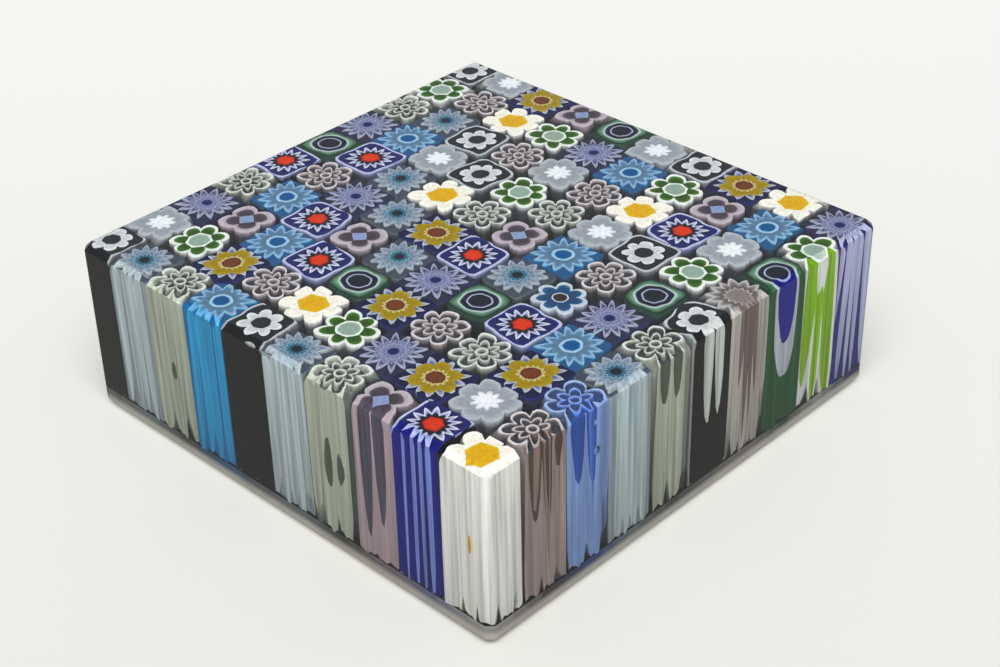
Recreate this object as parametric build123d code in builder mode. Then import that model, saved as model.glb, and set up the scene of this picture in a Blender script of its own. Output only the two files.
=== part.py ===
from build123d import *
import os
from math import cos, pi, sin

# Square millefiori glass block, in millimetres.
# A clear glass base carries 10 x 10 patterned glass canes, upright and fused into clear glass.
# The ground sides cut through the outer canes, so that their layers show there as stripes.
# Origin: middle of the bottom face. +Z is up, and the front corner is at -X, -Y.

# Driving dimensions
side = 90.0
height = 31.0
base_thickness = 4.0
top_bevel = 1.0
corner_flat = 1.1
bottom_round = 1.8
cane_pitch = 9.2
reach = 4.56  # the furthest that a round figure gets from its cane's axis
wall = 0.42  # thickness of the glass in a drawn outline

# Where the canes stand
rows = 10
lattice_shift = -0.4
first_cane = lattice_shift - cane_pitch * (rows - 1) / 2
# The canes are packed by hand, so each column and each row is a little off the lattice.
column_shift = (1.3, -0.5, -0.9, -0.3, 0.6, -0.6, -0.3, -0.5, -0.3, 1.4)
row_shift = (-1.1, -0.4, -1.0, -0.6, -0.9, 0.2, 0.3, -0.4, 1.2, 0.1)
most_turn = 12  # degrees

# One letter for each cane. The first string is the row along the side at -Y, and the first
# letter of each string is in the column along the side at -X.
layout = (
    "ajnhiboldg",
    "cmefgldmfa",
    "keicpjbcke",
    "igjlhfmadb",
    "hdegckijfm",
    "balheidmgl",
    "fjckhabjdk",
    "iefcghmbae",
    "hdkfjcfhjm",
    "bmgiclgidb",
)

os.makedirs("parts", exist_ok=True)


def places(kind):
    """Where the canes of one kind stand on the base, each with a turn of its own."""
    found = []
    for row, letters in enumerate(layout):
        for column, letter in enumerate(letters):
            if letter == kind:
                x = first_cane + column * cane_pitch + row_shift[row]
                y = first_cane + row * cane_pitch + column_shift[column]
                turn = (37 * column + 59 * row) % (2 * most_turn + 1) - most_turn
                found.append(Location((x, y, 0), (0, 0, turn)))
    return found


# Outlines of the figures in the canes


def at(radius, angle):
    """A point at a radius and an angle from the cane's axis."""
    return (radius * cos(angle), radius * sin(angle))


def disc(radius):
    with BuildSketch(mode=Mode.PRIVATE) as outline:
        Circle(radius)
    return outline.sketch


def block(half, corner):
    """A square with rounded corners."""
    with BuildSketch(mode=Mode.PRIVATE) as outline:
        RectangleRounded(2 * half, 2 * half, corner)
    return outline.sketch


def prism(radius, sides):
    with BuildSketch(mode=Mode.PRIVATE) as outline:
        RegularPolygon(radius, sides)
    return outline.sketch


def petals(count, valley, tip):
    """Round petals: one arc for each, from valley to valley over its tip."""
    step = 2 * pi / count
    with BuildSketch(mode=Mode.PRIVATE) as outline:
        with BuildLine():
            for n in range(count):
                start = at(valley, n * step)
                middle = at(tip, (n + 0.5) * step)
                ThreePointArc(start, middle, at(valley, (n + 1) * step))
        make_face()
    return outline.sketch


def pointed_petals(count, valley, tip):
    """Petals with bulging sides that meet in a point."""
    step = 2 * pi / count
    shoulder = valley + 0.62 * (tip - valley)
    with BuildSketch(mode=Mode.PRIVATE) as outline:
        with BuildLine():
            for n in range(count):
                top = at(tip, (n + 0.5) * step)
                ThreePointArc(at(valley, n * step), at(shoulder, (n + 0.15) * step), top)
                ThreePointArc(top, at(shoulder, (n + 0.85) * step), at(valley, (n + 1) * step))
        make_face()
    return outline.sketch


def star(count, valley, tip):
    """Straight-sided spikes."""
    corners = []
    for n in range(2 * count):
        radius = tip if n % 2 else valley
        corners.append(at(radius, n * pi / count))
    with BuildSketch(mode=Mode.PRIVATE) as outline:
        Polygon(*corners, align=None)
    return outline.sketch


# The layers of each kind of cane, from the outside in. Each layer has its outline cut out by
# the outline of the next one. The layers named filling are the clear glass inside outlines
# that are only drawn.
filling = "clear_flower_fillings"


def drawn_flower(name, count):
    """A flower of thin outlines: petals, a star inside them, and a small ring."""
    return [
        (name + "_outline", petals(count, 3.3, reach)),
        (filling, petals(count, 3.3 - wall, reach - wall)),
        (name + "_star", star(count, 1.55, 2.9)),
        (filling, star(count, 1.55 - wall, 2.9 - 2 * wall)),
        (name + "_ring", disc(0.95)),
        (filling, disc(0.95 - wall)),
    ]


canes = {
    "a": [
        ("white_daisy_petals", pointed_petals(7, 2.75, reach)),
        ("white_daisy_core", prism(2.4, 6)),
    ],
    "b": [
        ("black_flower_outline", block(4.25, 1.6)),
        ("black_flower_field", block(4.25 - wall, 1.6 - wall)),
        ("black_flower_petals", petals(7, 2.35, 3.1)),
        ("black_flower_eye", disc(1.25)),
    ],
    "c": [
        ("red_star_outline", block(4.35, 1.5)),
        ("red_star_field", block(4.35 - wall, 1.5 - wall)),
        ("red_star_petals", petals(8, 2.9, 3.55)),
        ("red_star_burst", star(14, 1.8, 2.4)),
        ("red_star_centre", disc(1.6)),
    ],
    "d": [
        ("green_flower_outline", petals(7, 3.5, reach)),
        ("green_flower_petals", petals(7, 3.5 - wall, reach - wall)),
        ("green_flower_ring", prism(2.4, 7)),
        ("green_flower_centre", disc(1.85)),
    ],
    "e": [
        ("yellow_flower_field", block(4.15, 1.8)),
        ("yellow_flower_spikes", star(14, 3.3, 4.05)),
        ("yellow_flower_petals", petals(6, 2.7, 3.3)),
        ("yellow_flower_ring", star(14, 1.3, 1.65)),
        ("yellow_flower_centre", disc(1.1)),
    ],
    "f": [
        ("cyan_daisy_spikes", star(13, 3.4, reach)),
        ("cyan_daisy_disc", disc(2.9)),
        ("cyan_daisy_ring", disc(1.5)),
        ("cyan_daisy_core", disc(1.0)),
    ],
    "g": [
        ("lavender_daisy_spikes", star(14, 3.5, reach)),
        ("lavender_daisy_disc", disc(3.0)),
        ("lavender_daisy_centre", disc(0.75)),
    ],
    "h": [
        ("pale_daisy_spikes", star(13, 3.1, 4.1)),
        ("pale_daisy_ring", disc(1.75)),
        ("pale_daisy_eye", disc(0.75)),
    ],
    "i": drawn_flower("grey_green_flower", 7),
    "j": drawn_flower("brown_flower", 7),
    "k": [
        ("quatrefoil_ring", petals(4, 2.9, 4.4)),
        ("quatrefoil_field", petals(4, 1.75, 3.1)),
        ("quatrefoil_centre", prism(1.3, 4)),
    ],
    "l": [
        ("ringed_cane_jacket", block(3.95, 2.4)),
        ("ringed_cane_pale_ring", disc(3.15)),
        ("ringed_cane_blue_ring", disc(2.75)),
        ("ringed_cane_white_ring", disc(2.0)),
        ("ringed_cane_core", disc(1.7)),
    ],
    "m": [
        ("frost_flower_outline", petals(7, 3.3, reach)),
        (filling, petals(7, 3.3 - wall, reach - wall)),
        ("frost_flower_core", star(9, 1.9, 2.5)),
    ],
    "n": drawn_flower("blue_flower", 6),
    "o": [
        ("fringed_daisy_spikes", star(14, 3.5, 4.4)),
        ("fringed_daisy_ring", disc(3.0)),
        ("fringed_daisy_core", disc(2.0)),
    ],
    "p": [
        ("small_flower_outline", petals(7, 3.0, 4.0)),
        ("small_flower_petals", petals(7, 3.0 - wall, 4.0 - wall)),
        ("small_flower_ring", disc(1.45)),
        ("small_flower_eye", disc(1.1)),
    ],
}


# The block's own shape, above and below the plane that the canes stand on

with BuildPart() as clear_glass_base:
    with BuildSketch():
        Rectangle(side, side)
        chamfer(vertices(), corner_flat)
    extrude(amount=base_thickness)
    fillet(edges().group_by(Axis.Z)[0], bottom_round)

with BuildPart() as upper_block:
    with BuildSketch(Plane.XY.offset(base_thickness)):
        Rectangle(side, side)
        chamfer(vertices(), corner_flat)
    extrude(amount=height - base_thickness)
    chamfer(edges().group_by(Axis.Z)[-1], top_bevel)


def write(piece, name):
    piece.part.label = name
    export_step(piece.part, f"parts/{name}.step")


def build_layer(name, cuts):
    """All the solids of one layer. cuts holds their kind of cane, outline and next outline."""
    with BuildPart() as layer:
        with BuildSketch(Plane.XY.offset(base_thickness)):
            for kind, outline, inner in cuts:
                with Locations(*places(kind)):
                    add(outline)
                    if inner:
                        add(inner, mode=Mode.SUBTRACT)
        extrude(amount=height - base_thickness)
        add(upper_block.part, mode=Mode.INTERSECT)
    write(layer, name)


# The clear glass between the canes

with BuildPart() as clear_glass_matrix:
    with BuildSketch(Plane.XY.offset(base_thickness)):
        Rectangle(side, side)
        for kind, layers in canes.items():
            with Locations(*places(kind)):
                add(layers[0][1], mode=Mode.SUBTRACT)
    extrude(amount=height - base_thickness)
    add(upper_block.part, mode=Mode.INTERSECT)

write(clear_glass_base, "clear_glass_base")
write(clear_glass_matrix, "clear_glass_matrix")

# The canes, one node for each layer of each kind

filling_cuts = []
for kind, layers in canes.items():
    inner_outlines = [outline for name, outline in layers[1:]] + [None]
    for (name, outline), inner in zip(layers, inner_outlines):
        if name == filling:
            filling_cuts.append((kind, outline, inner))
        else:
            build_layer(name, [(kind, outline, inner)])
build_layer(filling, filling_cuts)
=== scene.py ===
from math import cos, pi, radians, sin, sqrt
from random import Random

import bmesh
import bpy
from mathutils import Matrix, Quaternion, Vector


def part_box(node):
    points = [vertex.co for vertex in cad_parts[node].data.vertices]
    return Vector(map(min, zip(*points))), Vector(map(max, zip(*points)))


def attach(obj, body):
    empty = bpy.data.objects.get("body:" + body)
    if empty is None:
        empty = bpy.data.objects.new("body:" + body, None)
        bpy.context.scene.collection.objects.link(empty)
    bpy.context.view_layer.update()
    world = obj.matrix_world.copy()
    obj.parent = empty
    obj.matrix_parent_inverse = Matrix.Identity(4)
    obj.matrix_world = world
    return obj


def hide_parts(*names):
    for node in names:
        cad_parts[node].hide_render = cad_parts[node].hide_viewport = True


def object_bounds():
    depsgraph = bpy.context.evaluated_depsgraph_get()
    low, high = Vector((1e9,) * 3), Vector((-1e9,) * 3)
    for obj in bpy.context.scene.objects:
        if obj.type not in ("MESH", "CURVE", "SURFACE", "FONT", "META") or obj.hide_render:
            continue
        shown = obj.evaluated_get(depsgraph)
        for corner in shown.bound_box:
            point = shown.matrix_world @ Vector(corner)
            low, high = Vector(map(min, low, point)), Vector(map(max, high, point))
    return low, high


# Looks of the square millefiori glass block. The clear glass is one body, and every layer of
# every kind of cane is a mesh of its own inside it. Lengths are in millimetres until a mesh is
# written or a shader reads them, which is in metres.

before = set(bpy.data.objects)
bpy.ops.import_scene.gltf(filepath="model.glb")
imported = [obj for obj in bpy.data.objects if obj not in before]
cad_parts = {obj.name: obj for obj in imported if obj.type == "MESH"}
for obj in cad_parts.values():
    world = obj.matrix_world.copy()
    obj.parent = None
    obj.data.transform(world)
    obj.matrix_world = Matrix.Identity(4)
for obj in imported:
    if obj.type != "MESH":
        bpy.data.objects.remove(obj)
cad_low, cad_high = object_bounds()

MM = 0.001
half_side = cad_high.x / MM
height = cad_high.z / MM
cane_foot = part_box("clear_glass_base")[1].z / MM
top_bevel = 1.0
corner_flat = 1.1
bottom_round = 1.8

# The canes stand where the CAD has them, one letter for each.
cane_pitch = 9.2
rows = 10
lattice_shift = -0.4
first_cane = lattice_shift - cane_pitch * (rows - 1) / 2
column_shift = (1.3, -0.5, -0.9, -0.3, 0.6, -0.6, -0.3, -0.5, -0.3, 1.4)
row_shift = (-1.1, -0.4, -1.0, -0.6, -0.9, 0.2, 0.3, -0.4, 1.2, 0.1)
most_turn = 12  # degrees
layout = (
    "ajnhiboldg",
    "cmefgldmfa",
    "keicpjbcke",
    "igjlhfmadb",
    "hdegckijfm",
    "balheidmgl",
    "fjckhabjdk",
    "iefcghmbae",
    "hdkfjcfhjm",
    "bmgiclgidb",
)

# Where the outer canes run, in order along a side: how far in from the lattice each one stands
# at the top, and how much further in it leans on its way down to the foot.
front_canes = (
    (-1.0, 0.3), (-0.3, 1.0), (0.4, 0.8), (0.1, 0.5), (-0.4, 0.9),
    (0.2, 1.3), (-0.4, 1.4), (-0.45, 2.0), (-1.05, 2.3), (-1.1, 1.3),
)
left_canes = (
    (0.9, 0.4), (0.6, 0.2), (0.2, 1.1), (0.6, 0.4), (0.8, 0.3),
    (0.8, 0.1), (0.6, 0.5), (0.7, 0.3), (-0.7, 0.5), (0.8, 0.1),
)
back_canes = (
    (0.3, 0.4), (0.0, 0.9), (0.2, 0.5), (-0.1, 1.1), (0.3, 0.8),
    (0.1, 0.6), (0.2, 1.0), (0.0, 0.5), (0.2, 0.9), (0.3, 0.4),
)
edge_swell = 0.25  # just under the top they first swell outwards by this much
swell_depth = 2.5  # and have their full width this deep
lean_falloff = 0.45  # each row further in leans this much of the one outside it

# How the canes were pressed together
clear_gap = 0.06  # the least clear glass between two canes
cell = (cane_pitch - clear_gap) / 2  # so no cane reaches further from its lattice point
squeeze = 0.3  # how far the round figures were pressed square by their neighbours
side_squeeze = 0.9  # the same for the outer canes, well under the top
side_growth = 0.17  # and how much wider they are there
least_radius = 0.3  # no outline comes closer to its cane's axis
extra_turns = {(0, 5): 26, (0, 8): 26}  # degrees by which the cane at (row, column) turns more

# What becomes of the petals on their way down
most_lobes = 4  # a figure with more of them than this has petals,
shallowest_gap = 0.8  # if the gaps between them are deeper than this
merged = 0.4  # share of the gap between two petals of an outer cane that closes under the top
smallest_merged = 4.1  # the tip radius that a figure needs for this
parted = 1.6  # how much deeper than drawn the gaps are at the foot
fewest_petals = 7  # with more of them than this, they part less
foot_share = 0.14  # of a cane's height is its foot
ragged = 0.7  # the canes' feet end this much higher or lower

# Under the top, the open petals of the drawn flowers close. In the canes along the front side
# they close more and more towards the foot, by most_closing there. In the other outer canes
# they are most open half-way down, and close by least_closed of it there.
most_closing = 3.0
half_way = 0.55
least_closed = 0.25

# How far the layers stay inside the block's ground faces. Each inner layer comes a step closer
# to them, so that it shows wherever a face cuts through it.
deepest_inset = 0.14
inset_step = 0.018

# The depths under the top at which an outline is drawn, apart from the one at the cane's foot
outer_depths = (0, 0.7, 1.4, 2.4, 4, 7, 11, 15, 19, 23)
inner_depths = (0, 3, 9, 17)


# Outlines. Each one is a list of (angle, radius) round the cane's axis.

disc_points = 40
block_points = 48
points_to_a_side = 6  # of a regular polygon


def lobes(count, valley, tip, width=2.0, samples=8):
    """Equal lobes. A width of 1 gives straight spikes, 2 round petals, and more gives broad
    petals with narrow gaps."""
    outline = []
    for n in range(count * samples):
        from_tip = abs(2 * (n % samples) / samples - 1)
        angle = 2 * pi * n / (count * samples)
        outline.append((angle, valley + (tip - valley) * (1 - from_tip**width)))
    return outline


def spikes(count, valley, tip, width=1.15):
    return lobes(count, valley, tip, width, samples=6)


def disc(radius):
    return [(2 * pi * n / disc_points, radius) for n in range(disc_points)]


def prism(radius, sides):
    """A regular polygon with its corners at this radius."""
    outline = []
    for n in range(sides * points_to_a_side):
        angle = 2 * pi * n / (sides * points_to_a_side)
        from_middle = angle % (2 * pi / sides) - pi / sides
        outline.append((angle, radius * cos(pi / sides) / cos(from_middle)))
    return outline


def block(half, power=5.0):
    """A rounded square. A higher power gives sharper corners."""
    outline = []
    for n in range(block_points):
        angle = 2 * pi * n / block_points
        spread = abs(cos(angle)) ** power + abs(sin(angle)) ** power
        outline.append((angle, half / spread ** (1 / power)))
    return outline


def thinner(outline, wall):
    return [(angle, radius - wall) for angle, radius in outline]


# Every kind of cane, from the outside in: layer name, outline, outline of the hole in it.
# A layer with no hole is solid, and the next one stands inside it.

tip_radius = 4.6  # of the round figures

# How thick the glass of the drawn outlines is
petal_wall = 0.36
star_wall = 0.32
ring_wall = 0.34


def drawn_flower(name, count):
    """A flower of thin outlines: petals, a star inside them, and a small ring."""
    petal_line = lobes(count, 2.75, 4.4, width=3.0)
    star_line = lobes(count, 1.5, 2.85, width=1.5)
    ring_line = disc(1.0)
    return [
        (name + "_fog", thinner(petal_line, petal_wall / 2), None),
        (name + "_outline", petal_line, thinner(petal_line, petal_wall)),
        (name + "_star", star_line, thinner(star_line, star_wall)),
        (name + "_ring", ring_line, thinner(ring_line, ring_wall)),
    ]


frost_line = lobes(7, 3.7, 4.85, width=2.6)
canes = {
    "a": [
        ("white_daisy_petals", lobes(7, 3.0, 5.0, width=3.0), None),
        ("white_daisy_core", prism(2.6, 6), None),
    ],
    "b": [
        ("black_flower_outline", block(4.3, 4.0), None),
        ("black_flower_field", block(3.95, 4.0), None),
        ("black_flower_petals", lobes(7, 2.3, 3.4, width=2.4), None),
        ("black_flower_eye", disc(1.5), None),
    ],
    "c": [
        ("red_star_outline", block(4.5, 4.0), None),
        ("red_star_field", block(4.12, 4.0), None),
        ("red_star_petals", spikes(14, 2.4, 3.9, width=1.1), None),
        ("red_star_burst", spikes(14, 1.95, 2.6), None),
        ("red_star_centre", prism(1.7, 6), None),
    ],
    "d": [
        ("green_flower_outline", lobes(7, 3.3, 4.7, width=2.2), None),
        ("green_flower_petals", lobes(7, 2.45, 4.08, width=2.2), None),
        ("green_flower_ring", prism(2.25, 7), None),
        ("green_flower_centre", disc(1.7), None),
    ],
    "e": [
        ("yellow_flower_field", block(4.5, 6.0), None),
        ("yellow_flower_spikes", spikes(14, 3.2, 4.75), None),
        ("yellow_flower_petals", lobes(6, 2.9, 3.9, width=2.0, samples=10), None),
        ("yellow_flower_ring", spikes(14, 1.55, 2.1), None),
        ("yellow_flower_centre", disc(1.45), None),
    ],
    "f": [
        ("cyan_daisy_jacket", block(4.55, 7.0), None),
        ("cyan_daisy_spikes", spikes(13, 3.0, 4.85), None),
        ("cyan_daisy_disc", lobes(13, 2.7, 3.2, width=1.5, samples=6), None),
        ("cyan_daisy_ring", disc(1.8), None),
        ("cyan_daisy_core", disc(1.3), None),
    ],
    "g": [
        ("lavender_daisy_jacket", block(4.55, 7.0), None),
        ("lavender_daisy_spikes", spikes(14, 2.6, 4.65), None),
        ("lavender_daisy_band", spikes(14, 2.2, 3.0), None),
        ("lavender_daisy_disc", spikes(14, 1.7, 2.3), None),
        ("lavender_daisy_ring", disc(1.25), None),
        ("lavender_daisy_centre", disc(0.8), None),
    ],
    "h": [
        ("pale_daisy_jacket", block(4.4, 5.0), None),
        ("pale_daisy_spikes", spikes(13, 2.8, 4.3), None),
        ("pale_daisy_band", spikes(13, 2.2, 3.1), None),
        ("pale_daisy_ring", spikes(13, 1.5, 2.1), None),
        ("pale_daisy_eye", disc(0.85), None),
    ],
    "i": drawn_flower("grey_green_flower", 7),
    "j": drawn_flower("brown_flower", 7),
    "k": [
        ("quatrefoil_ring", lobes(4, 2.75, 4.15, width=2.8, samples=12), None),
        ("quatrefoil_field", lobes(4, 1.8, 3.1, width=2.8, samples=12), None),
        ("quatrefoil_centre", prism(1.55, 4), None),
    ],
    "l": [
        ("ringed_cane_jacket", block(4.0, 2.8), None),
        ("ringed_cane_pale_ring", disc(3.2), None),
        ("ringed_cane_blue_ring", disc(2.8), None),
        ("ringed_cane_white_ring", disc(2.0), None),
        ("ringed_cane_core", disc(1.72), None),
    ],
    "m": [
        ("frost_flower_outline", frost_line, None),
        ("frost_flower_fog", thinner(frost_line, 0.4), None),
        ("frost_flower_core", lobes(9, 1.5, 2.4, width=1.5), None),
    ],
    "n": drawn_flower("blue_flower", 6),
    "o": [
        ("fringed_daisy_spikes", spikes(14, 3.3, 4.7), None),
        ("fringed_daisy_ring", spikes(14, 2.6, 3.2), None),
        ("fringed_daisy_core", spikes(14, 1.8, 2.4), None),
    ],
    "p": [
        ("small_flower_outline", lobes(7, 2.9, 4.2, width=2.4), None),
        ("small_flower_petals", lobes(7, 2.3, 3.5, width=2.2), None),
        ("small_flower_ring", disc(1.32), None),
        ("small_flower_eye", disc(1.1), None),
    ],
}

# Tinted and foggy glass round a figure or in it lies this much deeper under the top than the
# other layers, and fog_side deeper under the sides. The dark grey fog inside the grey-green and
# brown drawn flowers is painted shade for the depth of the clear glass there, with a little of the
# flowers' own tint.
fog_side = 0.1
sunk_layers = {
    "cyan_daisy_jacket": 0.6,
    "lavender_daisy_jacket": 0.6,
    "pale_daisy_jacket": 0.9,
    "frost_flower_fog": 0.1,
    "grey_green_flower_fog": 1.1,
    "brown_flower_fog": 1.1,
    "blue_flower_fog": 0.8,
}

# For each layer, its slot in the record and three colours: in the middle of the layer's top, at
# the rim of its top, and in the block's sides. They are sRGB, 0 to 255.
finishes = {
    # The milk-white petals' side colour is paler than their top as painted light, making up for the lamp
    # lighting the sides less.
    "white_daisy_petals": ("milk_white_glass", (232, 229, 218), (243, 241, 232), (248, 245, 235)),
    "white_daisy_core": ("lemon_glass", (212, 168, 0), (214, 178, 0), (214, 164, 0)),
    "black_flower_outline": ("pale_outline_glass", (160, 164, 168), (196, 202, 208), (150, 154, 154)),
    "black_flower_field": ("black_glass", (34, 38, 41), (38, 42, 46), (8, 9, 4)),
    "black_flower_petals": ("milk_white_glass", (196, 200, 202), (222, 226, 228), (200, 204, 200)),
    "black_flower_eye": ("black_glass", (40, 44, 47), (42, 46, 50), (8, 9, 5)),
    "red_star_outline": ("lavender_white_glass", (158, 164, 206), (196, 201, 222), (150, 160, 212)),
    "red_star_field": ("cobalt_glass", (22, 28, 84), (28, 38, 112), (0, 10, 130)),
    "red_star_petals": ("milk_white_glass", (140, 146, 190), (224, 227, 236), (132, 152, 220)),
    "red_star_burst": ("black_glass", (26, 22, 30), (36, 32, 48), (8, 8, 84)),
    "red_star_centre": ("orange_red_glass", (206, 54, 12), (166, 32, 8), (190, 40, 10)),
    "green_flower_outline": ("milk_white_glass", (206, 212, 206), (236, 240, 236), (232, 236, 228)),
    "green_flower_petals": ("green_glass", (44, 82, 16), (66, 112, 34), (142, 192, 0)),
    "green_flower_ring": ("milk_white_glass", (214, 224, 214), (230, 236, 230), (234, 238, 234)),
    "green_flower_centre": ("grey_green_glass", (144, 166, 154), (152, 174, 162), (206, 214, 208)),
    "yellow_flower_field": ("navy_glass", (18, 21, 60), (22, 26, 68), (8, 16, 120)),
    "yellow_flower_spikes": ("milk_white_glass", (90, 100, 150), (190, 195, 206), (150, 165, 215)),
    "yellow_flower_petals": ("mustard_glass", (154, 130, 0), (166, 146, 0), (190, 155, 0)),
    "yellow_flower_ring": ("milk_white_glass", (166, 142, 84), (212, 202, 146), (215, 200, 130)),
    "yellow_flower_centre": ("brown_red_glass", (112, 56, 24), (76, 28, 12), (110, 50, 25)),
    "cyan_daisy_jacket": ("cyan_glass", (0, 98, 162), (0, 104, 168), (0, 124, 190)),
    "cyan_daisy_spikes": ("pale_blue_glass", (70, 122, 166), (158, 190, 214), (34, 164, 214)),
    "cyan_daisy_disc": ("steel_blue_glass", (84, 118, 146), (96, 130, 158), (0, 138, 200)),
    "cyan_daisy_ring": ("pale_blue_glass", (150, 188, 214), (168, 202, 226), (150, 214, 240)),
    "cyan_daisy_core": ("cyan_glass", (0, 84, 140), (8, 92, 150), (0, 112, 184)),
    "lavender_daisy_jacket": ("navy_glass", (20, 23, 56), (24, 28, 68), (34, 38, 140)),
    "lavender_daisy_spikes": ("lavender_white_glass", (62, 68, 108), (172, 177, 200), (186, 190, 220)),
    "lavender_daisy_band": ("navy_glass", (84, 90, 128), (140, 146, 178), (166, 168, 208)),
    "lavender_daisy_disc": ("lavender_white_glass", (108, 115, 150), (160, 166, 194), (190, 192, 214)),
    "lavender_daisy_ring": ("lavender_white_glass", (84, 92, 140), (146, 154, 190), (180, 184, 212)),
    "lavender_daisy_centre": ("navy_glass", (20, 27, 84), (36, 43, 98), (24, 30, 116)),
    "pale_daisy_jacket": ("steel_blue_glass", (74, 86, 104), (80, 92, 110), (160, 176, 182)),
    "pale_daisy_spikes": ("pale_blue_glass", (104, 118, 140), (168, 180, 195), (192, 205, 206)),
    "pale_daisy_band": ("steel_blue_glass", (92, 112, 134), (148, 166, 182), (174, 194, 202)),
    "pale_daisy_ring": ("steel_blue_glass", (48, 98, 124), (136, 176, 192), (120, 166, 190)),
    "pale_daisy_eye": ("black_glass", (24, 34, 46), (28, 40, 52), (16, 22, 30)),
    # The dark grey of this fog is painted shade for the deep clear glass inside the flower, with a little
    # of its own tint.
    "grey_green_flower_fog": ("grey_green_glass", (78, 84, 79), (72, 78, 73), (92, 100, 80)),
    "grey_green_flower_outline": ("grey_green_glass", (190, 197, 191), (222, 227, 223), (184, 190, 172)),
    "grey_green_flower_star": ("grey_green_glass", (166, 174, 166), (202, 208, 203), (170, 176, 158)),
    "grey_green_flower_ring": ("grey_green_glass", (160, 168, 160), (202, 208, 203), (170, 176, 158)),
    # The dark grey of this fog is painted shade for the deep clear glass inside the flower, with a little
    # of its own tint.
    "brown_flower_fog": ("brown_glass", (76, 71, 75), (70, 65, 69), (98, 74, 62)),
    "brown_flower_outline": ("brown_glass", (190, 188, 193), (218, 216, 221), (170, 154, 148)),
    "brown_flower_star": ("brown_glass", (160, 154, 158), (200, 196, 201), (150, 128, 118)),
    "brown_flower_ring": ("brown_glass", (160, 154, 158), (200, 196, 201), (150, 128, 118)),
    "quatrefoil_ring": ("pink_glass", (172, 159, 170), (194, 186, 195), (186, 166, 172)),
    "quatrefoil_field": ("brown_glass", (70, 62, 70), (90, 82, 90), (86, 80, 98)),
    "quatrefoil_centre": ("sky_blue_glass", (138, 154, 192), (148, 162, 198), (110, 134, 204)),
    "ringed_cane_jacket": ("sea_green_glass", (104, 152, 124), (24, 36, 36), (26, 90, 44)),
    "ringed_cane_pale_ring": ("pale_outline_glass", (166, 184, 182), (178, 194, 192), (192, 198, 208)),
    "ringed_cane_blue_ring": ("navy_glass", (20, 24, 44), (26, 32, 56), (0, 16, 152)),
    "ringed_cane_white_ring": ("lavender_white_glass", (156, 166, 192), (170, 178, 202), (160, 170, 220)),
    "ringed_cane_core": ("black_glass", (24, 30, 42), (30, 36, 54), (8, 16, 90)),
    "frost_flower_outline": ("frost_glass", (150, 157, 165), (180, 186, 192), (190, 196, 198)),
    "frost_flower_fog": ("frost_glass", (156, 162, 168), (124, 131, 139), (166, 172, 174)),
    "frost_flower_core": ("milk_white_glass", (228, 230, 234), (206, 210, 216), (214, 218, 220)),
    "blue_flower_fog": ("sky_blue_glass", (56, 84, 148), (50, 78, 140), (44, 88, 184)),
    "blue_flower_outline": ("sky_blue_glass", (150, 176, 222), (166, 188, 228), (138, 166, 216)),
    "blue_flower_star": ("sky_blue_glass", (110, 140, 210), (140, 166, 220), (84, 128, 216)),
    "blue_flower_ring": ("sky_blue_glass", (100, 132, 204), (132, 160, 216), (84, 128, 216)),
    "fringed_daisy_spikes": ("frost_glass", (122, 116, 116), (194, 192, 192), (188, 182, 176)),
    "fringed_daisy_ring": ("brown_glass", (84, 76, 74), (116, 108, 108), (124, 106, 98)),
    "fringed_daisy_core": ("brown_glass", (132, 122, 120), (180, 172, 170), (122, 106, 100)),
    "small_flower_outline": ("milk_white_glass", (160, 174, 190), (204, 214, 222), (198, 212, 230)),
    "small_flower_petals": ("cyan_glass", (24, 70, 112), (44, 92, 134), (30, 100, 170)),
    "small_flower_ring": ("milk_white_glass", (180, 194, 206), (206, 214, 222), (210, 216, 224)),
    "small_flower_eye": ("brown_glass", (48, 42, 44), (64, 58, 60), (62, 50, 50)),
}


# Materials


def grey(value):
    return (value, value, value, 1.0)


def linear(colour):
    """sRGB from 0 to 255 as linear light."""
    shares = [value / 255 for value in colour]
    bright = [s / 12.92 if s <= 0.04045 else ((s + 0.055) / 1.055) ** 2.4 for s in shares]
    return (*bright, 1.0)


def new_material(name):
    material = bpy.data.materials.new(name)
    material.use_nodes = True
    material.node_tree.nodes.clear()
    return material, material.node_tree


def add_node(tree, kind, settings=None, **inputs):
    """A shader node with some of its inputs set or linked, and other settings of it."""
    node = tree.nodes.new(kind)
    for key, value in (settings or {}).items():
        setattr(node, key, value)
    for key, value in inputs.items():
        socket = node.inputs[key.replace("_", " ")]
        if isinstance(value, bpy.types.NodeSocket):
            tree.links.new(value, socket)
        else:
            socket.default_value = value
    return node


def blend(tree, share, first, second, mode="MIX"):
    """Mixes two colours; each may be a socket or a value."""
    node = tree.nodes.new("ShaderNodeMix")
    node.data_type = "RGBA"
    node.blend_type = mode
    for socket, value in ((node.inputs[0], share), (node.inputs[6], first), (node.inputs[7], second)):
        if isinstance(value, bpy.types.NodeSocket):
            tree.links.new(value, socket)
        else:
            socket.default_value = value
    return node.outputs[2]


def noise(tree, across, along, detail=2.0):
    """Noise in the row frame, with this many cells to a metre across a cane and along it."""
    place = add_node(tree, "ShaderNodeNewGeometry").outputs["Position"]
    scaled = add_node(tree, "ShaderNodeVectorMath", {"operation": "MULTIPLY"})
    tree.links.new(place, scaled.inputs[0])
    scaled.inputs[1].default_value = (across, across, along)
    made = add_node(tree, "ShaderNodeTexNoise", Vector=scaled.outputs[0], Scale=1.0, Detail=detail)
    return made.outputs["Fac"]


def ramp(tree, value, low, high):
    """Goes from 0 to 1 while a value goes from low to high."""
    node = add_node(tree, "ShaderNodeMapRange", Value=value, From_Min=low, From_Max=high)
    return node.outputs[0]


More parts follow.
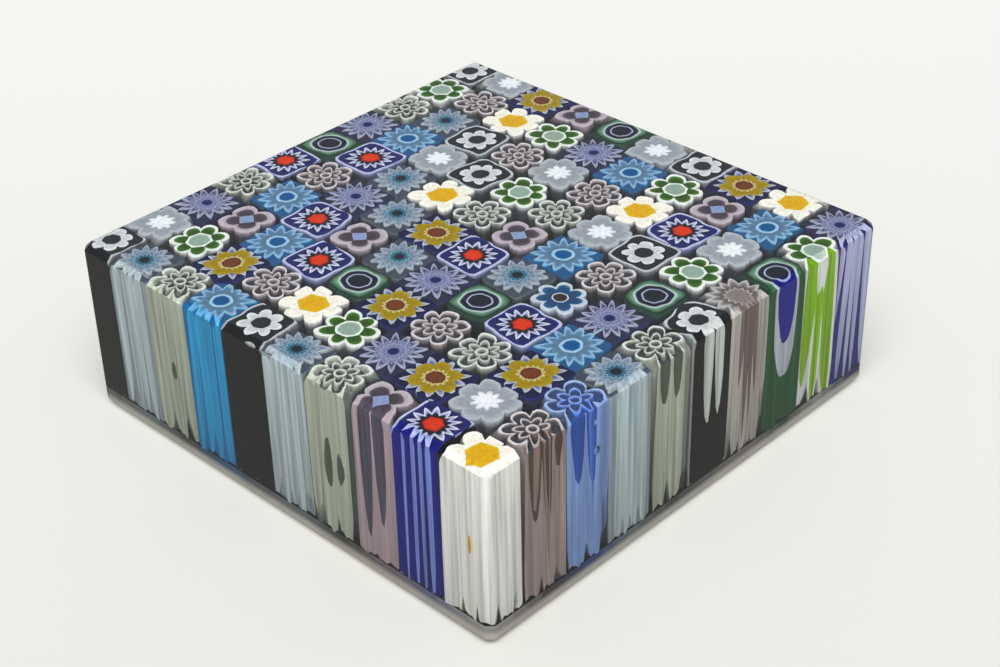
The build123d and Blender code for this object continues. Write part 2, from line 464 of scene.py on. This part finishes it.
def calculate(tree, operation, *values):
    """A math node on sockets and numbers."""
    node = tree.nodes.new("ShaderNodeMath")
    node.operation = operation
    for socket, value in zip(node.inputs, values):
        if isinstance(value, bpy.types.NodeSocket):
            tree.links.new(value, socket)
        else:
            socket.default_value = value
    return node.outputs[0]


def position(tree):
    """The place in the row frame, split into X, Y and Z."""
    place = add_node(tree, "ShaderNodeSeparateXYZ")
    tree.links.new(add_node(tree, "ShaderNodeNewGeometry").outputs["Position"], place.inputs[0])
    return place


def depth_in_glass(tree):
    """Distance in metres from the block's nearest face, apart from the bottom one."""
    place = position(tree)
    out_x = calculate(tree, "ABSOLUTE", place.outputs["X"])
    out_y = calculate(tree, "ABSOLUTE", place.outputs["Y"])
    out = calculate(tree, "MAXIMUM", out_x, out_y)
    from_side = calculate(tree, "SUBTRACT", half_side * MM, out)
    from_top = calculate(tree, "SUBTRACT", height * MM, place.outputs["Z"])
    to_edge = calculate(tree, "ADD", from_side, from_top)
    to_bevel = calculate(tree, "SUBTRACT", to_edge, top_bevel * MM)
    from_bevel = calculate(tree, "DIVIDE", to_bevel, sqrt(2))
    out_both = calculate(tree, "ADD", out_x, out_y)
    to_corner = calculate(tree, "SUBTRACT", (2 * half_side - corner_flat) * MM, out_both)
    from_corner = calculate(tree, "DIVIDE", to_corner, sqrt(2))
    nearest = calculate(tree, "MINIMUM", from_side, from_top)
    return calculate(tree, "MINIMUM", nearest, calculate(tree, "MINIMUM", from_bevel, from_corner))


# Deep in the block, every colour goes over to a dark grey-blue, up to a share of it: painted shade
# for the gaps between the canes and the glass under them, where little light reaches. The change
# begins at the first of these depths and ends at the second.
painted_depth_shade = (54, 60, 71)
deepest_share = 0.9
darkening_from = 0.2
darkest_from = 2.3

# Factors for how bright the glass is: in its darkest and palest streaks, once for the block's
# sides and once for its top, and in the sides at a cane's foot and just under the top, where the
# sides are painted darker towards the table as painted shade.
side_streaks = (0.66, 1.3)
top_streaks = (0.88, 1.06)
side_foot_shade = (0.8, 1.06)


def shade(colour, factor):
    """A colour made lighter or darker, as linear light."""
    return (*[min(value * factor, 1.0) for value in linear(colour)[:3]], 1.0)


def top_look(tree, streaks, top, rim):
    to_rim = add_node(tree, "ShaderNodeAttribute", {"attribute_name": "rim"}).outputs["Fac"]
    colour = blend(tree, ramp(tree, to_rim, 0.74, 0.97), linear(top), linear(rim))
    darkest, palest = top_streaks
    return blend(tree, 1.0, colour, blend(tree, streaks, grey(darkest), grey(palest)), "MULTIPLY")


def side_look(tree, streaks, side):
    darkest, palest = side_streaks
    colour = blend(tree, streaks, shade(side, darkest), shade(side, palest))
    clouds = ramp(tree, noise(tree, across=320, along=60), 0.4, 0.8)
    colour = blend(tree, clouds, colour, linear(side))
    up = ramp(tree, position(tree).outputs["Z"], cane_foot * MM, height * MM)
    # Painted shade: the sides darken towards the canes' foot, near the table.
    at_foot, at_top = side_foot_shade
    return blend(tree, 1.0, colour, blend(tree, up, grey(at_foot), grey(at_top)), "MULTIPLY")


def matt(tree, colour):
    """A surface with no gloss of its own, since the clear glass over it has the gloss."""
    surface = add_node(
        tree, "ShaderNodeBsdfPrincipled", Base_Color=colour, Roughness=0.6, Specular_IOR_Level=0.0
    )
    add_node(tree, "ShaderNodeOutputMaterial", Surface=surface.outputs[0])


def cane_glass(name, top, rim, side):
    """Coloured glass, streaked along the cane. Its top goes from one colour in the middle to
    another at the rim, the block's sides have a third, painted darker towards the foot as painted
    shade, and deep in the block it is darkened by painted shade."""
    material, tree = new_material(name)
    streaks = ramp(tree, noise(tree, across=1500, along=30, detail=3.0), 0.35, 0.65)
    facing = add_node(tree, "ShaderNodeSeparateXYZ")
    tree.links.new(add_node(tree, "ShaderNodeNewGeometry").outputs["Normal"], facing.inputs[0])
    on_top = ramp(tree, facing.outputs["Z"], 0.5, 0.95)
    colour = blend(tree, on_top, side_look(tree, streaks, side), top_look(tree, streaks, top, rim))
    # Painted shade: the deeper the glass lies under the block's faces, the darker it is.
    deep = ramp(tree, depth_in_glass(tree), darkening_from * MM, darkest_from * MM)
    deep = calculate(tree, "MULTIPLY", calculate(tree, "POWER", deep, 0.5), deepest_share)
    matt(tree, blend(tree, deep, colour, linear(painted_depth_shade)))
    return material


glass_ior = 1.45


def clear_glass():
    """The clear glass. Lamps shine through it straight, so that the canes inside are lit."""
    material, tree = new_material("clear_glass")
    ripple = noise(tree, across=120, along=120)
    bump = add_node(tree, "ShaderNodeBump", Height=ripple, Strength=0.02, Distance=0.5 * MM)
    surface = add_node(
        tree,
        "ShaderNodeBsdfPrincipled",
        Base_Color=(0.97, 0.985, 0.98, 1.0),
        Roughness=0.0,
        IOR=glass_ior,
        Specular_IOR_Level=0.0,
        Transmission_Weight=1.0,
        Normal=bump.outputs[0],
    )
    passing = add_node(tree, "ShaderNodeBsdfTransparent", Color=(0.76, 0.77, 0.765, 1.0))
    shadow = add_node(tree, "ShaderNodeLightPath").outputs["Is Shadow Ray"]
    mixed = tree.nodes.new("ShaderNodeMixShader")
    tree.links.new(shadow, mixed.inputs[0])
    tree.links.new(surface.outputs[0], mixed.inputs[1])
    tree.links.new(passing.outputs[0], mixed.inputs[2])
    add_node(tree, "ShaderNodeOutputMaterial", Surface=mixed.outputs[0])
    return material


# The canes


def smooth(share):
    share = min(max(share, 0.0), 1.0)
    return share * share * (3 - 2 * share)


def axis_shift(row, column, depth):
    """How far a cane's axis has moved off the lattice at a depth under the top, in X and Y."""
    down = depth / (height - cane_foot)
    swell = edge_swell * smooth(depth / swell_depth)
    shift = [0.0, 0.0]
    sides = (
        (1, 1, row, front_canes[column]),
        (0, 1, column, left_canes[row]),
        (1, -1, rows - 1 - row, back_canes[column]),
        (0, -1, rows - 1 - column, back_canes[row]),
    )
    for axis, inward, rows_in, (start, lean) in sides:
        shift[axis] += inward * (start - swell + lean * down) * lean_falloff**rows_in
    return shift


def cane_chance(row, column):
    """How one cane came out: its twist from top to foot, the size of its outline's uneven waves,
    and how the waves are turned. The seed is another one for each cane."""
    rng = Random(17 * row + column)
    return {
        "twist": radians(rng.uniform(-8, 8)),
        "uneven": rng.uniform(0.02, 0.06),
        "oval": rng.uniform(0.0, 0.05),
        "kink": rng.uniform(0.01, 0.03),
        "turns": [rng.uniform(0, 2 * pi) for n in range(5)],
    }


def cane_rings(outline, row, column, top_inset, depths, closing=0.0):
    """The outline of one layer of one cane at each depth, from the top down. With closing, the
    outline shrinks below the top."""
    chance = cane_chance(row, column)
    x = first_cane + column * cane_pitch + row_shift[row]
    y = first_cane + row * cane_pitch + column_shift[column]
    turn = radians((37 * column + 59 * row) % (2 * most_turn + 1) - most_turn)
    turn += radians(extra_turns.get((row, column), 0))
    tip = max(radius for angle, radius in outline)
    petals = petal_count(outline)
    low_x, high_x = room(column)
    low_y, high_y = room(row)
    at_edge = is_outer(row, column)
    rings = []
    for depth in depths:
        shift_x, shift_y = axis_shift(row, column, depth)
        down = depth / (height - cane_foot)
        under = smooth(depth / swell_depth) if at_edge else 0.0
        gap = 1.0
        if petals:
            gap += parted * min(fewest_petals / petals, 1.0) * smooth((down - 1) / foot_share + 1)
        if petals and tip > smallest_merged:
            gap -= merged * under * smooth((1 - down) / foot_share)
        closed = down if row == 0 else abs(down - half_way) + least_closed
        closed *= closing * smooth(depth / swell_depth)
        press = squeeze + (side_squeeze - squeeze) * under
        ring = []
        for angle, radius in outline:
            world = angle + turn + chance["twist"] * down
            world += chance["uneven"] * sin(2 * angle + chance["turns"][0])
            world += 0.6 * chance["uneven"] * sin(5 * angle + chance["turns"][1])
            pressed = 1 / max(abs(cos(world)), abs(sin(world))) - 1
            out = min(radius / tip_radius, 1.0)
            size = 1 + out**2 * press * pressed + out**4 * side_growth * under
            size += chance["oval"] * cos(2 * world + chance["turns"][2])
            size += chance["kink"] * cos(3 * world + chance["turns"][3])
            size += chance["kink"] * cos(7 * angle + chance["turns"][4])
            far = max(tip - (tip - radius) * gap - closed, least_radius) * size
            dx = min(max(shift_x + far * cos(world), low_x), high_x)
            dy = min(max(shift_y + far * sin(world), low_y), high_y)
            z = height - top_inset - depth
            if depth == depths[-1]:
                z = cane_foot + ragged * sin(5 * angle + chance["turns"][0]) * sin(11 * world)
            ring.append(Vector((x + dx, y + dy, z)))
        rings.append(ring)
    return rings


def petal_count(outline):
    """How many petals or spikes an outline has. Four of them, or short ones, count as none."""
    radii = [radius for angle, radius in outline]
    tips = sum(radii[n - 1] < r >= radii[(n + 1) % len(radii)] for n, r in enumerate(radii))
    return tips if tips > most_lobes and max(radii) - min(radii) > shallowest_gap else 0


def is_outer(row, column):
    return row in (0, rows - 1) or column in (0, rows - 1)


def room(place):
    """How far a cane may reach from its lattice point, towards either end of a row. The canes at
    the ends may reach past the block's side, where they are ground off."""
    return (-2 * cell if place == 0 else -cell), (2 * cell if place == rows - 1 else cell)


def loft(solid, rings, inward=False):
    """Joins rings of points into a wall, and returns the first and the last ring. The attribute
    rim is 1 on a layer's outline and 0 in its middle."""
    rim = solid.verts.layers.float.get("rim") or solid.verts.layers.float.new("rim")
    made = [[solid.verts.new(point) for point in ring] for ring in rings]
    for ring in made:
        for vertex in ring:
            vertex[rim] = 1.0
    for upper, lower in zip(made, made[1:]):
        for n in range(len(upper)):
            corners = [upper[n - 1], upper[n], lower[n], lower[n - 1]]
            face = solid.faces.new(corners if inward else corners[::-1])
            face.smooth = True
    return made[0], made[-1]


def cap(solid, ring):
    """Closes a ring with triangles to its middle."""
    middle = solid.verts.new(sum((v.co for v in ring), Vector()) / len(ring))
    for n in range(len(ring)):
        solid.faces.new([ring[n - 1], ring[n], middle])


def join_rims(solid, outer, inner):
    for n in range(len(outer)):
        solid.faces.new([outer[n - 1], outer[n], inner[n], inner[n - 1]])


def cut_planes(inset):
    """The block's sides, corner flats and bevels, moved inwards: the outward normal and the
    distance from the row origin of each."""
    planes = []
    edge = height + half_side - top_bevel
    corner = 2 * half_side - corner_flat
    for turn in range(4):
        out = Vector((round(cos(turn * pi / 2)), round(sin(turn * pi / 2)), 0))
        planes.append((out, half_side - inset))
        planes.append(((out + Vector((0, 0, 1))) / sqrt(2), edge / sqrt(2) - inset))
        corner_out = (out + Vector((-out.y, out.x, 0))) / sqrt(2)
        planes.append((corner_out, corner / sqrt(2) - inset))
        level = corner / sqrt(2) + height - top_bevel
        planes.append(((corner_out + Vector((0, 0, 1))) / sqrt(2), level / sqrt(2) - inset))
    return planes


def grind(solid, inset):
    """Cuts a solid flat wherever it comes through one of these faces, and closes the cuts."""
    for normal, distance in cut_planes(inset):
        if max((v.co.dot(normal) for v in solid.verts), default=0.0) <= distance:
            continue
        everything = solid.verts[:] + solid.edges[:] + solid.faces[:]
        cut = bmesh.ops.bisect_plane(
            solid, geom=everything, plane_co=normal * distance, plane_no=normal, clear_outer=True
        )
        cut_edges = [part for part in cut["geom_cut"] if isinstance(part, bmesh.types.BMEdge)]
        if cut_edges:
            bmesh.ops.triangle_fill(solid, edges=cut_edges, use_beauty=True, normal=normal)
    gaps = [edge for edge in solid.edges if edge.is_boundary]
    if gaps:
        bmesh.ops.holes_fill(solid, edges=gaps)


def cane_layer(name, kind, outline, hole, inset, top_inset):
    """One mesh for one layer of all the canes of a kind."""
    whole = bmesh.new()
    for row, letters in enumerate(layout):
        for column, letter in enumerate(letters):
            if letter != kind:
                continue
            at_edge = is_outer(row, column)
            depths = (*(outer_depths if at_edge else inner_depths), height - cane_foot)
            place = (row, column, top_inset, depths)
            fog_closing = most_closing if at_edge and name.endswith("_flower_fog") else 0.0
            hole_closing = most_closing if at_edge and name.endswith("_flower_outline") else 0.0
            solid = bmesh.new()
            top, bottom = loft(solid, cane_rings(outline, *place, fog_closing))
            if hole:
                hole_rings = cane_rings(hole, *place, hole_closing)
                inner_top, inner_bottom = loft(solid, hole_rings, inward=True)
                join_rims(solid, top, inner_top)
                join_rims(solid, bottom, inner_bottom)
            else:
                cap(solid, top)
                cap(solid, bottom)
            if at_edge:
                grind(solid, inset)
            bmesh.ops.recalc_face_normals(solid, faces=solid.faces[:])
            add_shape(whole, solid)
    for where, along, depth, half_width, half_height in seeds.get(name, []):
        add_shape(whole, seed_body(where, along, depth, half_width, half_height, inset))
    return write_mesh(name + "_glass", whole)


# Seeds of one layer that come through the ones round it, in the ground sides. For each layer:
# which side they are in, how far along it from the front corner, how deep under the top, half
# of their width and half of their height.
seed_steps = 6
seed_point = 0.05  # how wide a seed's two ends are, as a share of its middle
seeds = {
    "white_daisy_core": [("left", 3.6, 14.0, 0.3, 2.0)],
    "blue_flower_outline": [("front", 22.4, 8.4, 0.6, 0.75), ("front", 22.0, 3.4, 0.35, 0.5)],
    "blue_flower_ring": [("front", 22.4, 8.4, 0.33, 0.42)],
}


def seed_body(where, along, depth, half_width, half_height, inset):
    """A pointed bead that is ground off at the block's side."""
    shape = bmesh.new()
    rings = []
    for n in range(seed_steps + 1):
        up = 1 - 2 * n / seed_steps
        radius = half_width * max(sqrt(1 - up * up), seed_point)
        ring = []
        for angle, reach in disc(radius):
            out = reach * cos(angle) - half_side
            across = along - half_side + reach * sin(angle)
            z = height - depth + up * half_height
            ring.append(Vector((out, across, z) if where == "left" else (across, out, z)))
        rings.append(ring)
    top, bottom = loft(shape, rings)
    cap(shape, top)
    cap(shape, bottom)
    grind(shape, inset)
    bmesh.ops.recalc_face_normals(shape, faces=shape.faces[:])
    return shape


def add_shape(whole, solid):
    """Adds a finished shape to the mesh of its layer."""
    part = bpy.data.meshes.new("part")
    solid.to_mesh(part)
    solid.free()
    whole.from_mesh(part)
    bpy.data.meshes.remove(part)


def write_mesh(name, shape):
    """Turns a shape in millimetres into an object in metres."""
    bmesh.ops.scale(shape, vec=(MM, MM, MM), verts=shape.verts[:])
    mesh = bpy.data.meshes.new(name)
    shape.to_mesh(mesh)
    shape.free()
    made = bpy.data.objects.new(name, mesh)
    bpy.context.scene.collection.objects.link(made)
    return made


# A layer that the CAD has as a node replaces it. The other layers, tinted or foggy glass, are
# only here.
for kind, layers in canes.items():
    for order, (name, outline, hole) in enumerate(layers):
        top_inset = deepest_inset - inset_step * order
        inset = top_inset
        if name in sunk_layers:
            top_inset += sunk_layers[name]
            inset += fog_side
        piece = cane_layer(name, kind, outline, hole, inset, top_inset)
        slot_name, top, rim, side = finishes[name]
        piece.data.materials.append(cane_glass(name, top, rim, side))
        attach(piece, "root")
        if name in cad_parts:
            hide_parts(name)


# The clear glass


def block_ring(inset, z):
    """The block's outline at a height, moved inwards."""
    side = half_side - inset
    corner = half_side - corner_flat - inset * (sqrt(2) - 1)
    quarter = [Vector((side, -corner, z)), Vector((side, corner, z))]
    return [Matrix.Rotation(turn * pi / 2, 3, "Z") @ p for turn in range(4) for p in quarter]


round_steps = 6


def clear_body():
    """The block's whole outside, with the lower edge round and the upper one bevelled."""
    levels = [(0.0, height - top_bevel), (top_bevel, height)]
    for n in range(round_steps + 1):
        angle = n / round_steps * pi / 2
        levels.insert(0, (bottom_round * (1 - cos(angle)), bottom_round * (1 - sin(angle))))
    shape = bmesh.new()
    top, bottom = loft(shape, [block_ring(inset, z) for inset, z in reversed(levels)])
    shape.faces.new(top)
    shape.faces.new(bottom[::-1])
    bmesh.ops.recalc_face_normals(shape, faces=shape.faces[:])
    for face in shape.faces:
        face.smooth = False
    return write_mesh("clear_glass_body", shape)


body = clear_body()
body.data.materials.append(clear_glass())
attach(body, "root")
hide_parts("clear_glass_matrix", "clear_glass_base", "clear_flower_fillings")


# The lower edge of the base: a thin strip just inside the clear glass, painted with light and
# shade. It is pale at the bottom as a painted reflection of the table, and dark further up as
# painted shade under the canes' feet, with a little of the colours of the canes over it as a
# painted reflection.

edge_inset = 0.12
edge_thickness = 0.3
edge_levels = (3.5, 2.6, 1.8, 1.2, 0.7, 0.35)
points_along_side = 88
points_along_corner = 2
# Painted light: below the first of these heights the strip shows a painted reflection of the table, above
# the second painted shade, in the two colours that follow.
reflection_below = 0.9
shade_above = 2.8
painted_table_reflection = (240, 234, 222)
painted_foot_shade = (40, 40, 38)
# A painted reflection of the colours of the canes over the strip, at this share and spread this far.
cane_reflection_share = 0.25  # of the canes' colours
cane_reflection_spread = 3.0  # how far they run into each other


def edge_ring(inset, z):
    """The block's outline at a height in the base, moved inwards, with points along its sides."""
    below = max(bottom_round - z, 0.0)
    curve = bottom_round - sqrt(bottom_round**2 - below**2)
    corners = block_ring(inset + curve, z)
    ring = []
    for n, start in enumerate(corners):
        end = corners[(n + 1) % len(corners)]
        steps = points_along_corner if n % 2 else points_along_side
        ring += [start.lerp(end, step / steps) for step in range(steps)]
    return ring


def colour_over(place):
    """The side colour of the outermost layer of the cane over a place at the block's side."""
    column = min(max(round((place.x - first_cane) / cane_pitch), 0), rows - 1)
    row = min(max(round((place.y - first_cane) / cane_pitch), 0), rows - 1)
    outermost = canes[layout[row][column]][0][0]
    return Vector(linear(finishes[outermost][3]))


def painted_base_strip():
    shape = bmesh.new()
    cane_reflection = shape.verts.layers.float_color.new("cane_reflection")
    outer = loft(shape, [edge_ring(edge_inset, z) for z in edge_levels])
    inner_inset = edge_inset + edge_thickness
    inner = loft(shape, [edge_ring(inner_inset, z) for z in edge_levels], inward=True)
    for outer_rim, inner_rim in zip(outer, inner):
        join_rims(shape, outer_rim, inner_rim)
    spread = (-cane_reflection_spread, 0.0, cane_reflection_spread)
    steps = [Vector((x, y, 0.0)) for x in spread for y in spread]
    for vertex in shape.verts:
        colours = [colour_over(vertex.co + step) for step in steps]
        vertex[cane_reflection] = sum(colours, Vector((0, 0, 0, 0))) / len(colours)
    bmesh.ops.recalc_face_normals(shape, faces=shape.faces[:])
    return write_mesh("painted_base_strip_glass", shape)


def painted_base_strip_glass():
    """Pale at the bottom as a painted reflection of the table, and dark further up as painted
    shade, with a painted reflection of the canes' colours.
    """
    material, tree = new_material("painted_base_strip_glass")
    cane_reflection = add_node(tree, "ShaderNodeAttribute", {"attribute_name": "cane_reflection"}).outputs["Color"]
    up = ramp(tree, position(tree).outputs["Z"], reflection_below * MM, shade_above * MM)
    upper = blend(tree, cane_reflection_share, linear(painted_foot_shade), cane_reflection)
    colour = blend(tree, up, linear(painted_table_reflection), upper)
    worn = blend(tree, noise(tree, across=200, along=200), grey(0.8), grey(1.2))
    matt(tree, blend(tree, 1.0, colour, worn, "MULTIPLY"))
    return material


edge = painted_base_strip()
edge.data.materials.append(painted_base_strip_glass())
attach(edge, "root")


# Floor, light and camera


# Where the painted light on the table is darkest and where it is palest, as X + Y in metres: it is
# painted shade towards the front and painted light towards the back. Its two colours at each
# place are linear light.
table_near = -0.15
table_far = 0.2
shaded_near_colours = (0.816, 0.812, 0.758, 1.0), (0.844, 0.84, 0.79, 1.0)
lit_far_colours = (0.946, 0.942, 0.9, 1.0), (0.974, 0.972, 0.936, 1.0)
mirror_fade = 0.5  # how much of it is missing where the block mirrors it


def table_material():
    """A plain pale table, painted a little paler towards the back as painted light and darker
    towards the front as painted shade. The block's polished sides show it only faintly."""
    material, tree = new_material("pale_table")
    place = position(tree)
    across = calculate(tree, "ADD", place.outputs["X"], place.outputs["Y"])
    clouds = noise(tree, across=3, along=3)
    near = blend(tree, clouds, *shaded_near_colours)
    far = blend(tree, clouds, *lit_far_colours)
    # Painted light: paler towards the back, painted shade towards the front.
    colour = blend(tree, ramp(tree, across, table_near, table_far), near, far)
    mirrored = add_node(tree, "ShaderNodeLightPath").outputs["Is Glossy Ray"]
    colour = blend(tree, calculate(tree, "MULTIPLY", mirrored, mirror_fade), colour, grey(0.0))
    surface = add_node(
        tree, "ShaderNodeBsdfPrincipled", Base_Color=colour, Roughness=0.5, Specular_IOR_Level=0.2
    )
    add_node(tree, "ShaderNodeOutputMaterial", Surface=surface.outputs[0])
    return material


floor_reach = 3000.0
floor_gap = 0.15  # the block rests on a few high points of the table
floor_shape = bmesh.new()
corners = [Vector((x, y, 0)) * floor_reach for x, y in ((-1, -1), (1, -1), (1, 1), (-1, 1))]
floor_shape.faces.new([floor_shape.verts.new(p - Vector((0, 0, floor_gap))) for p in corners])
floor = write_mesh("pale_table", floor_shape)
floor.data.materials.append(table_material())

room_light = bpy.data.worlds.new("pale_studio")
room_light.use_nodes = True
background = room_light.node_tree.nodes["Background"]
background.inputs["Color"].default_value = (0.97, 0.98, 1.0, 1.0)
background.inputs["Strength"].default_value = 0.36


def area_light(name, place, size, watts):
    """A round lamp over the block, turned towards it. Its place and size are in metres."""
    lamp = bpy.data.lights.new(name, "AREA")
    lamp.shape = "DISK"
    lamp.size = size
    lamp.energy = watts
    made = bpy.data.objects.new(name, lamp)
    made.location = place
    made.rotation_mode = "QUATERNION"
    made.rotation_quaternion = (-Vector(place)).to_track_quat("-Z", "Y")
    bpy.context.scene.collection.objects.link(made)


area_light("overhead_softbox", place=(-2.25, -2.15, 5.05), size=5.0, watts=321.0)

# The camera's distance and the place that it looks at are in metres, its lens in millimetres and
# its angles in degrees. The azimuth goes from +X towards +Y.
view_azimuth = 44.506
view_elevation = 33.35
view_roll = -1.4
eye_distance = 0.3186
lens = 70.03

middle_of_view = Vector((0.0007, -0.0034, 0.0126))

level = cos(radians(view_elevation))
forward = Vector(
    (
        level * cos(radians(view_azimuth)),
        level * sin(radians(view_azimuth)),
        -sin(radians(view_elevation)),
    )
)
scene = bpy.context.scene
scene.world = room_light
camera = bpy.data.objects.new("camera", bpy.data.cameras.new("camera"))
camera.data.lens = lens
camera.location = middle_of_view - forward * eye_distance
camera.rotation_mode = "QUATERNION"
roll = Quaternion((0, 0, 1), radians(view_roll))
camera.rotation_quaternion = forward.to_track_quat("-Z", "Y") @ roll
camera.data.clip_start = 0.01
scene.collection.objects.link(camera)
scene.camera = camera
scene.view_settings.view_transform = "Standard"
